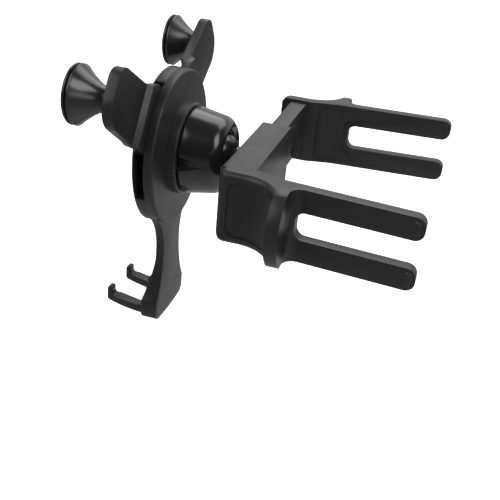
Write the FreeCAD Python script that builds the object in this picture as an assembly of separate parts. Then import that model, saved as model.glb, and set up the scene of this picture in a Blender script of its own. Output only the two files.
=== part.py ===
import FreeCAD, Part
import math
import os

# Car phone holder: a telescoping clamp with two forked claws, a ball joint with a lock nut,
# and a round cradle with two sprung arms and a hooked leg. Units are millimetres.
# X runs along the clamp bar, Y along the claw forks (the phone looks at -Y), Z is up.
# The ball stud stands at x = 0, the rear face of the rail lies at y = 0.

V = FreeCAD.Vector
ORIGIN = V(0, 0, 0)

# Clamp rail and claws
claw_height = 25.0
rail_depth = 11.0
rail_front_round = 4.6
edge_break = 0.7
rail_end_x = -8.3
claw_x = 39.2
fork_length = 56.0
fork_thickness = 4.3
fork_splay_deg = 5.4
fork_slot_height = 9.5
fork_slot_start = 15.8
fork_slot_round = 3.0
fork_tip_round = 3.3
tip_nub_radius = 1.7
tip_nub_proud = 0.6
tip_nub_inset = 2.6
root_flare = 1.9
root_flare_length = 10.5
claw_corner_round = 3.2
claw_side_round = 2.2
tab_reach = 16.0
tab_thickness = 4.4
tab_dome_radius = 14.2
tab_dish_radius = 12.9
tab_dish_depth_y = 3.0
tab_back_fillet = 4.0
sleeve_front_wall = 2.8
sleeve_rear_wall = 1.8
sleeve_side_wall = 1.0
sleeve_end_wall = 2.6
slide_clearance = 0.12
window_width = 5.2
window_from_end = 9.0
window_to_claw = 5.0

# Sliding bar
far_claw_x = -43.5
bar_inner_end_x = 13.7
bar_groove_width = 3.2
bar_groove_depth = 1.6
bar_groove_end_x = 7.5
bar_rebate_depth = 2.6
bar_rebate_round = 2.0
far_claw_front = 0.9
bar_rebate_top_z = -1.0
shoe_length = 8.0
shoe_width = 4.6
shoe_depth = 2.2
shoe_spring_space = 0.8

# Pads
dish_pad_thickness = 0.7
dish_pad_set_back = 0.25
dish_pad_height = 19.2
dish_pad_corner = 3.6
dish_pad_front_gap = 0.4
dish_pad_end_deg = 98.0
grip_pad_thickness = 1.2
grip_pad_proud = 0.5
grip_pad_start = 3.4
grip_pad_end = 17.6
grip_pad_height = 20.6
grip_pad_border = 1.9
grip_pad_corner = 2.4
pad_clearance = 0.1

# Ball joint
ball_radius = 9.5
ball_reach = 14.7
stud_neck_radius = 4.2
stud_flange_radius = 6.9
stud_flange_thickness = 1.3
seat_recess = 0.5
seat_pitch = 9.8
seat_count = 4
seat_line_width = 0.5
seat_line_depth = 0.4
seat_clearance = 0.15
seat_thickness = 0.95
nut_base_radius = 16.1
nut_shoulder_radius = 14.4
nut_shoulder_back = 2.4
nut_lip_polar_deg = 64.0
nut_funnel = 1.2
nut_length = 14.7
nut_seat_drop = 1.9
flute_base_radius = 3.3
flute_offset = 0.7
flute_end_gap = 0.6
thread_clearance = 0.25
spigot_radius = 12.1
boss_radius = 17.0
boss_height = 3.7
nut_gap = 0.3
cup_polar_deg = 56.0
ring_front_polar_deg = 88.0

# Cradle housing, measured forward from its back face
disc_radius = 28.5
back_offset = 12.8
rear_plate = 3.4
arm_slot = 3.6
front_wall = 1.0
disc_edge_round = 1.1
wall_width = 3.0
wall_gap_deg = 1.5
floor_hub_gap = 1.2
low_wall_gap_deg = 5.0
hub_radius = 11.8
hub_bore_radius = 9.4
guide_post_radius = 2.2
guide_orbit = 21.5
guide_angle_deg = 19.0
post_screw_radius = 0.9
post_screw_head = 1.8
puck_radius = 24.0
puck_thickness = 2.0
puck_seat_gap = 0.4
puck_rim_round = 1.5
puck_back_chamfer = 0.3
puck_rim_drop = 0.1
ring_outer_radius = 21.95
ring_width = 5.75
ring_thickness = 0.8
ring_groove = 0.2
ring_chamfer = 0.15
centre_pad_drop = 0.1
centre_pad_chamfer = 0.2
post_head_height = 0.6
post_head_play = 0.02
post_neck_run = 0.1
post_hole_end = 1.0
post_slot_half_length = 1.0
post_slot_half_width = 0.2
post_slot_depth = 0.3
face_rim_inset = 1.4
face_rim_width = 0.3
face_rim_rise = 0.35
face_edge_rise = 0.05

# Arms, measured from the disc centre line
arm_angle_deg = 33.8
arm_swing_deg = 30.0
arm_plate = 3.2
arm_half_upper = 10.6
arm_half_lower = 9.2
arm_root_upper = 13.8
arm_root_lower = 10.2
arm_root_spread_deg = 48.0
arm_reach = 56.6
arm_tip_round = 5.5
arm_tip_low_round = 8.5
arm_waist_upper = 11.6
arm_waist_reach = 32.8
arm_waist_low = 0.2
arm_hub_play = 0.15
arm_root_inset = 2.0
arm_root_flat = 8.0
arm_root_run_out = 1.5
arm_rim_round = 0.6
arm_rim_start = 3.0
riser_foot = 0.3
ear_rise = 2.4
ear_plate = 3.7
riser_front = 29.3
riser_front_top = 31.0
riser_back = 32.3
arm_side_play = 0.2
horn_inset = 7.0
horn_flange_radius = 9.8
horn_neck_radius = 3.5
horn_foot_radius = 4.2
horn_flare_radius = 5.7
horn_length = 12.4
horn_cap_thickness = 1.0
horn_cap_groove = 0.35
horn_rim = 1.0
horn_foot_lip = 0.5
horn_foot_depth = 0.7
horn_foot_rise = 1.8
horn_flare_rise = 5.456
horn_flare_mid_rise = 3.844
horn_flare_bow = 0.7
horn_cap_inset = 0.8
horn_cap_chamfer = 0.35
horn_end_gap = 0.2
peg_radius = 2.2
peg_length = 8.0

# Cross slide that ties the two arms together
cross_pin_x = 15.5
cross_pin_radius = 1.3
cross_bar_height = 5.0
cross_thickness = 1.2
cross_play = 0.15
cross_window_half = 6.0
cross_window_rise = 0.9
cross_window_round = 0.8
cross_end_play = 0.1
cross_room_play = 0.4
cross_room_round = 2.0
cross_room_depth = 0.5
spring_radius = 1.5
spring_wire = 0.4
spring_hole_radius = 0.6
spring_end_gap = 3.4
spring_lug_along = 18.0
spring_lug_up = 11.8
spring_notch_length = 12.0
spring_notch_half = 0.4
spring_notch_play = 0.4
spring_hook_end = 0.6
spring_wire_play = 0.1

# Leg and foot
leg_thickness = 3.5
leg_back = 2.3
leg_root_back = 3.5
leg_neck_half = 8.2
leg_flare_radius = 21.5
leg_lower_radius = 40.8
leg_curve_z = -45.0
foot_front = 9.0
foot_flat_z = -61.0
leg_corner_round = 3.0
leg_rim_round = 0.9
leg_foot_z = -61.6
leg_bottom_z = -69.8
leg_corner_drop = 0.9
latch_slit_width = 8.8
latch_slit_height = 1.0
latch_slit_drop = 0.1
latch_slit_depth = 1.4
foot_pad_half = 7.3
foot_pad_top_z = -53.0
foot_pad_back = 6.2
foot_pad_ribs = 3
foot_pad_rib_pitch = 3.75
foot_pad_proud = 0.25
foot_pad_rib_height = 0.8
hook_inner_x = 6.9
hook_outer_x = 11.2
hook_top_z = -66.0
hook_bottom_z = -68.8
hook_reach = 15.4
hook_top_rise = 2.3
hook_low_rise = 3.1
hook_tip_z = -60.0
hook_tip_round = 0.95
hook_throat_round = 1.2
hook_rim_round = 0.5
hook_plate_thickness = 1.4

# Small fasteners
screw_radius = 1.25
screw_head_radius = 2.7
screw_head_height = 1.5
screw_length = 7.0
stop_pin_radius = 1.2
stop_pin_x = -5.0
fit_clearance = 0.05
overlap = 0.5
wall_overlap = 0.3
cut_past = 30.0

# Positions that follow from the sizes above
half_height = claw_height / 2
splay = math.tan(math.radians(fork_splay_deg))
rail_front_y = -rail_depth
bar_front_y = rail_front_y + sleeve_front_wall + slide_clearance
bar_rear_y = -sleeve_rear_wall - slide_clearance
bar_half = half_height - sleeve_side_wall - slide_clearance
ball_y = rail_front_y - ball_reach
back_y = ball_y - back_offset
socket_radius = ball_radius + 2 * seat_clearance + seat_thickness
arm_back = rear_plate + arm_side_play
arm_front = arm_back + arm_plate
slot_front = rear_plate + arm_slot
ring_inner_radius = ring_outer_radius - ring_width
horn_orbit = arm_reach - horn_inset
puck_back = slot_front + front_wall
puck_front = puck_back + puck_thickness
ear_front = arm_front + ear_rise
cross_travel_half = cross_pin_x * math.tan(math.radians(arm_swing_deg / 2))


def face_from(points, place):
    """Face from a start point and steps: a point is a line, a pair (mid, end) is an arc."""
    edges = []
    start = points[0]
    for step in points[1:] + [points[0]]:
        if isinstance(step[0], tuple):
            mid, end = step
            edges.append(Part.Arc(place(*start), place(*mid), place(*end)).toShape())
        else:
            end = step
            if math.dist(start, end) > 1e-7:
                edges.append(Part.makeLine(place(*start), place(*end)))
        start = end
    return Part.Face(Part.Wire(edges))


def turned(points):
    """Solid of revolution about the Y axis from (radius, y) points."""
    return face_from(points, lambda r, y: V(r, y, 0)).revolve(ORIGIN, V(0, 1, 0), 360)


def plate_xz(points, y_from, y_to):
    """Prism along Y from an outline of (x, z) points."""
    return face_from(points, lambda x, z: V(x, y_from, z)).extrude(V(0, y_to - y_from, 0))


def plate_xy(points, z_from, z_to):
    """Prism along Z from a plan of (x, y) points."""
    return face_from(points, lambda x, y: V(x, y, z_from)).extrude(V(0, 0, z_to - z_from))


def plate_yz(points, x_from, x_to):
    """Prism along X from a side view of (y, z) points."""
    return face_from(points, lambda y, z: V(x_from, y, z)).extrude(V(x_to - x_from, 0, 0))


def box(x0, x1, y0, y1, z0, z1):
    return Part.makeBox(x1 - x0, y1 - y0, z1 - z0, V(x0, y0, z0))


def rod_y(radius, x, z, y_from, y_to):
    return Part.makeCylinder(radius, y_to - y_from, V(x, y_from, z), V(0, 1, 0))


def polar(radius, degrees):
    return (radius * math.cos(math.radians(degrees)), radius * math.sin(math.radians(degrees)))


def lifted(shape, degrees):
    """The shape turned about the Y axis, so that +X goes up by the angle."""
    out = shape.copy()
    out.rotate(ORIGIN, V(0, -1, 0), degrees)
    return out


def mirrored_x(shape):
    return shape.mirror(ORIGIN, V(1, 0, 0))


def moved(shape, x=0, y=0, z=0):
    out = shape.copy()
    out.translate(V(x, y, z))
    return out


def rounded_box(x0, x1, y0, y1, z0, z1, radius, axis):
    """Box whose four edges along one axis are rounded."""
    shape = box(x0, x1, y0, y1, z0, z1)
    edges = [e for e in shape.Edges if abs(e.tangentAt(0).dot(axis)) > 0.99]
    return shape.makeFillet(radius, edges)


def edges_where(shape, test):
    return [e for e in shape.Edges if test(e.BoundBox, e)]


def one_solid(shape):
    """The cleaned result of a Boolean, as a bare solid when it is one."""
    clean = shape.removeSplitter()
    return clean.Solids[0] if len(clean.Solids) == 1 else clean


# Clamp
def dish_centre():
    return (tab_reach + fork_thickness - tab_thickness + 1.2, -tab_dish_depth_y)


def claw_solid(front_y):
    """One claw with its thumb tab and fork; local x = 0 is the nominal inner face."""
    side_x = fork_thickness
    cx, cy = dish_centre()
    dish_r = cx - side_x
    tab_x = fork_thickness + tab_reach
    tab_front = cy + math.sqrt(dish_r ** 2 - (tab_x - cx) ** 2)
    tab_back = tab_front + tab_thickness
    arc_mid = (cx + dish_r * math.cos(math.radians(135)), cy + dish_r * math.sin(math.radians(135)))
    fillet_y = tab_back + tab_back_fillet
    outer_at = fork_thickness + fillet_y * splay
    f = tab_back_fillet
    k = 1 - math.sqrt(0.5)
    c = claw_corner_round
    plan = [
        (-root_flare, front_y), (-root_flare, 0),
        (root_flare_length * splay, root_flare_length),
        (fork_length * splay, fork_length),
        (fork_length * splay + fork_thickness, fork_length),
        (outer_at, fillet_y),
        ((outer_at + f * k, tab_back + f * k), (outer_at + f, tab_back)),
        (tab_x, tab_back), (tab_x, tab_front),
        (arc_mid, (side_x, cy)),
        (side_x, front_y + c),
        ((side_x - c * k, front_y + c * k), (side_x - c, front_y)),
    ]
    claw = plate_xy(plan, -half_height, half_height)
    dome_x = tab_x - tab_dome_radius
    outside = box(dome_x, tab_x + 5, tab_front - 20, tab_back + 1, -30, 30)
    outside = outside.cut(rod_y(tab_dome_radius, dome_x, 0, tab_front - 30, tab_back + 5))
    claw = claw.cut(outside)
    rims = edges_where(claw, lambda b, e: abs(abs(b.ZMin) - half_height) < 0.01 and b.ZLength < 0.01
                       and b.XMin > side_x - 0.01 and b.YMax < tab_front + 0.01)
    claw = claw.makeFillet(claw_side_round, rims)
    slot = rounded_box(-5, fork_thickness + 12, fork_slot_start, fork_length + 20,
                       -fork_slot_height / 2, fork_slot_height / 2, fork_slot_round, V(1, 0, 0))
    claw = claw.cut(slot)
    tips = edges_where(claw, lambda b, e: b.YMin > fork_length - 0.01 and b.ZLength < 0.01)
    claw = claw.makeFillet(fork_tip_round, tips)
    nub_y = fork_length - tip_nub_inset
    nub_x = nub_y * splay + fork_thickness + tip_nub_proud - tip_nub_radius
    fork_z = (half_height + fork_slot_height / 2) / 2
    nub_half = (half_height - fork_slot_height / 2) / 2 - tip_nub_inset
    for side in (-1, 1):
        z = side * fork_z
        nub = Part.makeCylinder(tip_nub_radius, 2 * nub_half, V(nub_x, nub_y, z - nub_half))
        for end in (-nub_half, nub_half):
            nub = nub.fuse(Part.makeSphere(tip_nub_radius, V(nub_x, nub_y, z + end)))
        claw = claw.fuse(nub.common(box(nub_x, nub_x + 5, 0, fork_length, -20, 20)))
    return claw.common(front_shape(front_y)).cut(dish_pad(0)).cut(grip_pad(0))


def front_shape(front_y):
    """Long prism along X that rounds the low front edge of rail and claws."""
    reach = tab_reach + 20
    block = box(-reach - claw_x, reach + claw_x, front_y, fork_length + 5, -half_height, half_height)
    low = edges_where(block, lambda b, e: b.YMax < front_y + 0.01 and b.ZMax < 0 and b.XLength > 1)
    block = block.makeFillet(rail_front_round, low)
    top = edges_where(block, lambda b, e: b.YMax < front_y + 0.01 and b.ZMin > 0 and b.XLength > 1)
    return block.makeFillet(edge_break, top)


def dish_pad(clearance):
    """Thumb pad along the side and the dish of a tab; with no clearance it is its pocket."""
    cx, cy = dish_centre()
    dish_r = cx - fork_thickness
    skin = dish_pad_set_back if clearance else -0.4
    deep = dish_pad_set_back + dish_pad_thickness - clearance
    y_start = rail_front_y + claw_corner_round + dish_pad_front_gap + clearance
    end = dish_pad_end_deg + math.degrees(clearance / dish_r)
    mid = (180 + end) / 2

    def at(depth, degrees):
        x, y = polar(dish_r + depth, degrees)
        return (cx + x, cy + y)

    side = fork_thickness
    plan = [(side - skin, y_start), (side - skin, cy), (at(skin, mid), at(skin, end)),
            at(deep, end), (at(deep, mid), (side - deep, cy)), (side - deep, y_start)]
    half = dish_pad_height / 2 - clearance
    pad = plate_xy(plan, -half, half)
    ends = edges_where(pad, lambda b, e: b.ZLength < 0.01 and e.Length < 3)
    return pad.makeFillet(dish_pad_corner - clearance, ends)


def grip_pad(clearance):
    """Soft pad let into the inner face round the start of the fork slot."""
    half_h = grip_pad_height / 2 - clearance
    y0 = grip_pad_start + clearance
    y1 = grip_pad_end - clearance
    slot_half = fork_slot_height / 2 + grip_pad_border + clearance
    notch_y = fork_slot_start - grip_pad_border - clearance
    depth = grip_pad_thickness - grip_pad_proud

    def inner_x(y):
        flare = max(0.0, 1 - y / root_flare_length) * root_flare
        return y * splay - flare

    proud = grip_pad_proud if clearance else 0.4
    deep = depth - clearance
    ym = root_flare_length
    plan = [(inner_x(y0) - proud, y0), (inner_x(y0) + deep, y0), (inner_x(ym) + deep, ym),
            (inner_x(y1) + deep, y1), (inner_x(y1) - proud, y1), (inner_x(ym) - proud, ym)]
    pad = plate_xy(plan, -half_h, half_h)
    notch = rounded_box(-5, 9, notch_y, y1 + 9, -slot_half, slot_half, fork_slot_round, V(1, 0, 0))
    front = edges_where(pad, lambda b, e: b.YMax < y0 + 0.01 and b.ZLength < 0.01)
    pad = pad.makeFillet(grip_pad_corner - clearance, front)
    return one_solid(pad.cut(notch))


def seat_marks():
    """Shallow lines on the rail front: a row of overlapping seats for the ball stud."""
    r = stud_flange_radius + pad_clearance
    y0 = rail_front_y
    y1 = rail_front_y + seat_line_depth
    last = seat_pitch * (seat_count - 1)

    def stadium(radius):
        return plate_xz([(0, -radius), (last, -radius), ((last + radius, 0), (last, radius)),
                         (0, radius), ((-radius, 0), (0, -radius))], y0, y1)

    lines = stadium(r).cut(stadium(r - seat_line_width))
    for i in range(1, seat_count - 1):
        ring = rod_y(r, i * seat_pitch, 0, y0, y1)
        ring = ring.cut(rod_y(r - seat_line_width, i * seat_pitch, 0, y0, y1))
        lines = lines.fuse(ring.common(box(i * seat_pitch, last, y0, y1, -r, r)))
    return lines.fuse(rod_y(r, 0, 0, y0, y0 + seat_recess))


def fixed_claw():
    rail = box(rail_end_x, claw_x, rail_front_y, 0, -half_height, half_height)
    body = rail.common(front_shape(rail_front_y)).fuse(moved(claw_solid(rail_front_y), claw_x))
    cavity = box(rail_end_x - 1, claw_x - root_flare - sleeve_end_wall,
                 bar_front_y - slide_clearance, bar_rear_y + slide_clearance,
                 -bar_half - slide_clearance, bar_half + slide_clearance)
    body = body.cut(cavity).cut(seat_marks())
    window_mid = (bar_front_y + bar_rear_y) / 2
    window = rounded_box(rail_end_x + window_from_end, claw_x - root_flare - window_to_claw,
                         window_mid - window_width / 2, window_mid + window_width / 2,
                         -half_height - 1, -bar_half, 1.2, V(0, 0, 1))
    body = body.cut(window)
    head_y = bar_front_y - slide_clearance
    body = body.cut(rod_y(screw_radius + fit_clearance, 0, 0, rail_front_y - 1, head_y))
    body = body.cut(screw_head(head_y, fit_clearance))
    body = body.cut(rod_y(stop_pin_radius + fit_clearance, stop_pin_x, 0, rail_front_y - 1, head_y))
    return one_solid(body)


def screw_head(head_y, grow):
    return turned([(0, head_y), (screw_head_radius + grow, head_y),
                   (screw_radius + grow, head_y - screw_head_height), (0, head_y - screw_head_height)])


def stud_screw():
    head_y = bar_front_y - slide_clearance
    shank = rod_y(screw_radius, 0, 0, head_y - screw_length, head_y - screw_head_height / 2)
    slot = box(-0.4, 0.4, head_y - 0.6, head_y + 1, -screw_head_radius, screw_head_radius)
    return one_solid(screw_head(head_y, 0).fuse(shank).cut(slot))


def stop_pin():
    pin = rod_y(stop_pin_radius, stop_pin_x, 0, rail_front_y + seat_recess,
                bar_front_y + bar_groove_depth - 3 * slide_clearance)
    return pin


def sliding_claw():
    claw = mirrored_x(claw_solid(rail_front_y - far_claw_front))
    claw.translate(V(far_claw_x, 0, 0))
    root_x = far_claw_x + root_flare - 0.5
    bar = box(root_x, bar_inner_end_x, bar_front_y, bar_rear_y, -bar_half, bar_half)
    rebate_start = far_claw_x + root_flare + bar_rebate_round
    rebate = rounded_box(rebate_start, bar_inner_end_x + 20, bar_rear_y - bar_rebate_depth,
                         bar_rear_y + 9, -bar_half - 9, bar_rebate_top_z, bar_rebate_round,
                         V(0, 1, 0))
    groove_start = far_claw_x + root_flare + 5.5
    groove = rounded_box(groove_start, bar_groove_end_x, bar_front_y - 1,
                         bar_front_y + bar_groove_depth,
                         -bar_groove_width / 2, bar_groove_width / 2,
                         bar_groove_width / 2 - 0.05, V(0, 1, 0))
    bar = bar.cut(rebate).cut(groove).cut(shoe_pocket())
    return one_solid(claw.fuse(bar))


def shoe_place():
    """Corner of the friction shoe pocket in the front face of the bar: x and z."""
    return (bar_inner_end_x - 2.5 - shoe_length, bar_half - 3.0 - shoe_width)


def shoe_pocket():
    x, z = shoe_place()
    deep = bar_front_y + shoe_depth + shoe_spring_space
    return box(x, x + shoe_length, bar_front_y - 1, deep, z, z + shoe_width)


def friction_shoe():
    x, z = shoe_place()
    c = fit_clearance
    shoe = box(x + c, x + shoe_length - c, bar_front_y, bar_front_y + shoe_depth - c,
               z + c, z + shoe_width - c)
    ends = edges_where(shoe, lambda b, e: b.YMax < bar_front_y + 0.01 and b.ZLength > 1)
    return shoe.makeFillet(0.5, ends)


def shoe_spring():
    """Bowed leaf that presses the shoe out of its pocket."""
    x, z = shoe_place()
    top = bar_front_y + shoe_depth + fit_clearance
    low = top + shoe_spring_space - 2 * fit_clearance
    a = x + 0.4
    b = x + shoe_length - 0.4
    t = 0.25
    plan = [(a, low), (((a + b) / 2, top + t), (b, low)), (b, low - t),
            (((a + b) / 2, top), (a, low - t))]
    return plate_xy(plan, z + 0.5, z + shoe_width - 0.5)


# Ball joint
def ball_stud():
    base = rail_front_y + seat_recess
    front = base - stud_flange_thickness
    neck_end = ball_y + math.sqrt(ball_radius ** 2 - stud_neck_radius ** 2)
    profile = [
        (0, base), (stud_flange_radius, base), (stud_flange_radius, front + 0.4),
        (stud_flange_radius - 0.4, front),
        ((stud_neck_radius + 0.8, front - 0.5), (stud_neck_radius, front - 1.6)),
        (stud_neck_radius, neck_end),
        ((ball_radius, ball_y), (0, ball_y - ball_radius)),
    ]
    body = turned(profile)
    hole_end = bar_front_y - slide_clearance - screw_length - 1
    return one_solid(body.cut(rod_y(screw_radius + fit_clearance, 0, 0, hole_end, base + 1)))


def sphere_band(inner, outer, front_deg, rear_deg):
    """Part of a spherical shell between two polar angles, both measured from +Y."""
    def at(radius, degrees):
        a = math.radians(degrees)
        return (radius * math.sin(a), ball_y + radius * math.cos(a))
    mid = (front_deg + rear_deg) / 2
    profile = [at(inner, rear_deg), at(outer, rear_deg),
               (at(outer, mid), at(outer, front_deg)), at(inner, front_deg),
               (at(inner, mid), at(inner, rear_deg))]
    return turned(profile)


def rear_seat():
    inner = ball_radius + seat_clearance
    return sphere_band(inner, inner + seat_thickness, ring_front_polar_deg, nut_lip_polar_deg + 2)


def front_seat():
    """Cup between the ball and the socket, with a hole at its pole."""
    inner = ball_radius + seat_clearance
    return sphere_band(inner, inner + seat_thickness, 172, 180 - cup_polar_deg)


def lock_nut():
    base_y = back_y + boss_height + nut_gap
    end_y = base_y + nut_length
    a = math.radians(nut_lip_polar_deg)
    lip = (socket_radius * math.sin(a), ball_y + socket_radius * math.cos(a))
    bore = spigot_radius + thread_clearance
    seat_y = ball_y - nut_seat_drop
    seat_r = math.sqrt(socket_radius ** 2 - nut_seat_drop ** 2)
    shoulder_y = ball_y + nut_shoulder_back
    profile = [
        (bore, base_y), (nut_base_radius - 0.5, base_y), (nut_base_radius, base_y + 0.5),
        (nut_base_radius, base_y + 1.6),
        ((nut_shoulder_radius + 0.65, shoulder_y - 4.0), (nut_shoulder_radius, shoulder_y)),
        ((nut_shoulder_radius - 1.3, shoulder_y + 2.2), (lip[0] + nut_funnel + 0.4, end_y)),
        (lip[0] + nut_funnel, end_y), lip,
        ((socket_radius * math.sin(a * 1.4), ball_y + socket_radius * math.cos(a * 1.4)),
         (seat_r, seat_y)),
        (bore, seat_y),
    ]
    nut = turned(profile)
    flute_start = base_y - 0.5
    flute_length = shoulder_y - flute_end_gap - flute_start
    start_r = nut_base_radius + flute_offset
    axis = V(nut_shoulder_radius + 0.1 - start_r, flute_length, 0)
    for side in (-1, 1):
        cone = Part.makeCone(flute_base_radius, 0, axis.Length, V(side * start_r, flute_start, 0),
                             V(side * axis.x, axis.y, 0))
        nut = nut.cut(cone)
    return one_solid(nut)


# Cradle housing, built with its back face at y = 0 and moved to its place at the end
def placed(shape):
    return moved(shape, 0, back_y, 0)


def arm_edge_deg(radius, upper):
    """Angle of an arm edge at a radius, from the arm centre line."""
    half = arm_root_upper if upper else -arm_root_lower
    return math.degrees(math.asin(half / radius))


def sector(radius, from_deg, to_deg, y_from, y_to, inner=0.0):
    mid = (from_deg + to_deg) / 2
    if inner:
        points = [polar(inner, from_deg), polar(radius, from_deg),
                  (polar(radius, mid), polar(radius, to_deg)), polar(inner, to_deg),
                  (polar(inner, mid), polar(inner, from_deg))]
    else:
        points = [(0.0, 0.0), polar(radius, from_deg), (polar(radius, mid), polar(radius, to_deg))]
    return plate_xz(points, y_from, y_to)


def post_places():
    a = polar(guide_orbit, guide_angle_deg)
    return [a, (-a[0], a[1]), (0.0, -guide_orbit)]


def rear_cover():
    plate = turned([(0, -rear_plate), (disc_radius, -rear_plate), (disc_radius, -disc_edge_round),
                    ((disc_radius - 0.3 * disc_edge_round, -0.3 * disc_edge_round),
                     (disc_radius - disc_edge_round, 0)), (0, 0)])
    boss = turned([(0, -0.5), (boss_radius, -0.5), (boss_radius, boss_height - 0.6),
                   (boss_radius - 0.6, boss_height), (0, boss_height)])
    spigot_end = back_offset - 2.4
    spigot = rod_y(spigot_radius, 0, 0, boss_height - 1, spigot_end)
    hub = rod_y(hub_radius, 0, 0, -slot_front, -rear_plate + 0.5)
    hub = hub.cut(rod_y(hub_bore_radius, 0, 0, -slot_front - 1, -rear_plate))
    body = plate.fuse(boss).fuse(spigot).fuse(hub)
    for x, z in post_places()[:2]:
        body = body.fuse(rod_y(guide_post_radius, x, z, -slot_front, -rear_plate + 0.5))
    body = body.cut(Part.makeSphere(socket_radius, V(0, back_offset, 0)))
    for x, z in post_places():
        body = body.cut(rod_y(post_screw_radius + fit_clearance, x, z, -slot_front - overlap,
                              -post_hole_end))
    return placed(one_solid(body))


def cross_room(y_from, y_to):
    """Opening in which the cross slide moves up and down."""
    travel = cross_travel_half + cross_bar_height / 2 + cross_room_play
    reach = cross_pin_x + cross_bar_height / 2 + cross_room_play
    return rounded_box(-reach, reach, y_from, y_to, -travel, travel, cross_room_round, V(0, 1, 0))


def leg_outline():
    """Outline of disc, flared leg and foot in the front view."""
    neck = leg_neck_half
    r = leg_flare_radius
    cz = -math.sqrt((disc_radius + r) ** 2 - (neck + r) ** 2)
    cx = neck + r
    join = (cx * disc_radius / (disc_radius + r), cz * disc_radius / (disc_radius + r))
    a1 = math.atan2(join[1] - cz, join[0] - cx)
    am = (a1 + math.pi) / 2
    flare_mid = (cx + r * math.cos(am), cz + r * math.sin(am))
    big = leg_lower_radius
    low_x = neck + big - math.sqrt(big ** 2 - (cz - leg_foot_z) ** 2)
    half_drop = (cz - leg_foot_z) / 2
    low_mid_x = neck + big - math.sqrt(big ** 2 - half_drop ** 2)
    corner_z = leg_bottom_z + leg_corner_drop
    right = [
        join, (flare_mid, (neck, cz)), ((low_mid_x, cz - half_drop), (low_x, leg_foot_z)),
        (low_x, corner_z),
    ]
    left = [
        ((0.0, leg_bottom_z), (-low_x, corner_z)), (-low_x, leg_foot_z),
        ((-low_mid_x, cz - half_drop), (-neck, cz)),
        ((-flare_mid[0], flare_mid[1]), (-join[0], join[1])),
        (-join[0] * 0.65, join[1] * 0.65), (join[0] * 0.65, join[1] * 0.65),
    ]
    return right + left


def front_housing():
    lip = puck_radius + puck_seat_gap
    face_y = -puck_back
    wall_y = -slot_front - wall_overlap
    rim_y = face_y - face_rim_rise
    disc = turned([(0, -slot_front), (disc_radius, -slot_front), (disc_radius, wall_y),
                   ((disc_radius - face_rim_inset, face_y - face_edge_rise),
                    (lip + face_rim_width, rim_y)),
                   (lip, rim_y), (lip, face_y), (0, face_y)])
    leg_front = leg_back + leg_thickness
    curve_mid = (-leg_front - 0.4 * (foot_front - leg_front), (leg_curve_z + foot_flat_z) / 2)
    side = plate_yz([(-leg_back, 0), (-leg_back, leg_bottom_z - 1), (-foot_front, leg_bottom_z - 1),
                     (-foot_front, foot_flat_z), (curve_mid, (-leg_front, leg_curve_z)),
                     (-leg_front, 0)], -disc_radius, disc_radius)
    leg = plate_xz(leg_outline(), -foot_front - 1, -leg_back).common(side)
    leg = leg.cut(rod_y(disc_radius + fit_clearance, 0, 0, -leg_root_back, 0))
    corners = edges_where(leg, lambda b, e: b.YLength > 1 and b.ZMax < leg_foot_z - 1)
    leg = leg.makeFillet(leg_corner_round, corners)
    rims = edges_where(leg, lambda b, e: b.YMax < -leg_front + 0.01 and b.ZMax < -20)
    leg = leg.makeFillet(leg_rim_round, rims)
    wall_inner = disc_radius - wall_width
    upper_deg = arm_angle_deg + arm_edge_deg(wall_inner, True) + wall_gap_deg
    lower_deg = arm_angle_deg + arm_edge_deg(wall_inner, False) - arm_swing_deg - low_wall_gap_deg
    top_wall = sector(disc_radius, upper_deg, 180 - upper_deg, wall_y, -rear_plate, wall_inner)
    low_wall = sector(disc_radius, -180 - lower_deg, lower_deg, wall_y, -rear_plate, wall_inner)
    floor_deg = arm_angle_deg - arm_swing_deg - arm_root_spread_deg - wall_gap_deg
    floor = sector(disc_radius - overlap, -180 - floor_deg, floor_deg, wall_y, -rear_plate,
                   hub_radius + floor_hub_gap)
    body = disc.fuse(low_wall).fuse(top_wall).fuse(floor).fuse(leg)
    body = body.cut(cross_room(face_y - overlap, -slot_front))
    for x, z in post_places():
        body = body.cut(rod_y(post_screw_radius + fit_clearance, x, z, face_y - cut_past,
                              -rear_plate + overlap))
        body = body.cut(rod_y(post_screw_head + fit_clearance, x, z, face_y - cut_past,
                              face_y + post_head_height))
    slit_z = -disc_radius - latch_slit_drop
    slit = box(-latch_slit_width / 2, latch_slit_width / 2, -leg_front - overlap,
               -leg_front + latch_slit_depth, slit_z - latch_slit_height, slit_z)
    body = body.cut(slit)
    body = body.cut(hook_plate(0)).cut(foot_block(0))
    return placed(one_solid(body))


def housing_screws():
    screws = []
    for x, z in post_places():
        head_end = -puck_back + post_head_height - post_head_play
        head = rod_y(post_screw_head, x, z, -puck_back + post_head_play, head_end)
        shank = rod_y(post_screw_radius, x, z, head_end - post_neck_run, -post_hole_end - post_neck_run)
        cross = box(x - post_slot_half_length, x + post_slot_half_length, -puck_back - overlap,
                    -puck_back + post_slot_depth, z - post_slot_half_width, z + post_slot_half_width)
        screws.append(placed(one_solid(head.fuse(shank).cut(cross))))
    return Part.makeCompound(screws)


def puck():
    rim_y = -puck_front + puck_rim_drop
    r = puck_radius
    w = puck_rim_round
    k = 1 - math.sqrt(0.5)
    floor = -puck_front + ring_thickness
    body = turned([
        (0, -puck_back), (r - puck_back_chamfer, -puck_back), (r, -puck_back - puck_back_chamfer),
        (r, rim_y + w),
        ((r - w * k, rim_y + w * k), (r - w, rim_y)),
        (ring_outer_radius + fit_clearance, rim_y), (ring_outer_radius + fit_clearance, floor),
        (0, floor),
    ])
    room = cross_room(-puck_back - cross_room_depth, -puck_back + overlap)
    return placed(one_solid(body.cut(room)))


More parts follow.
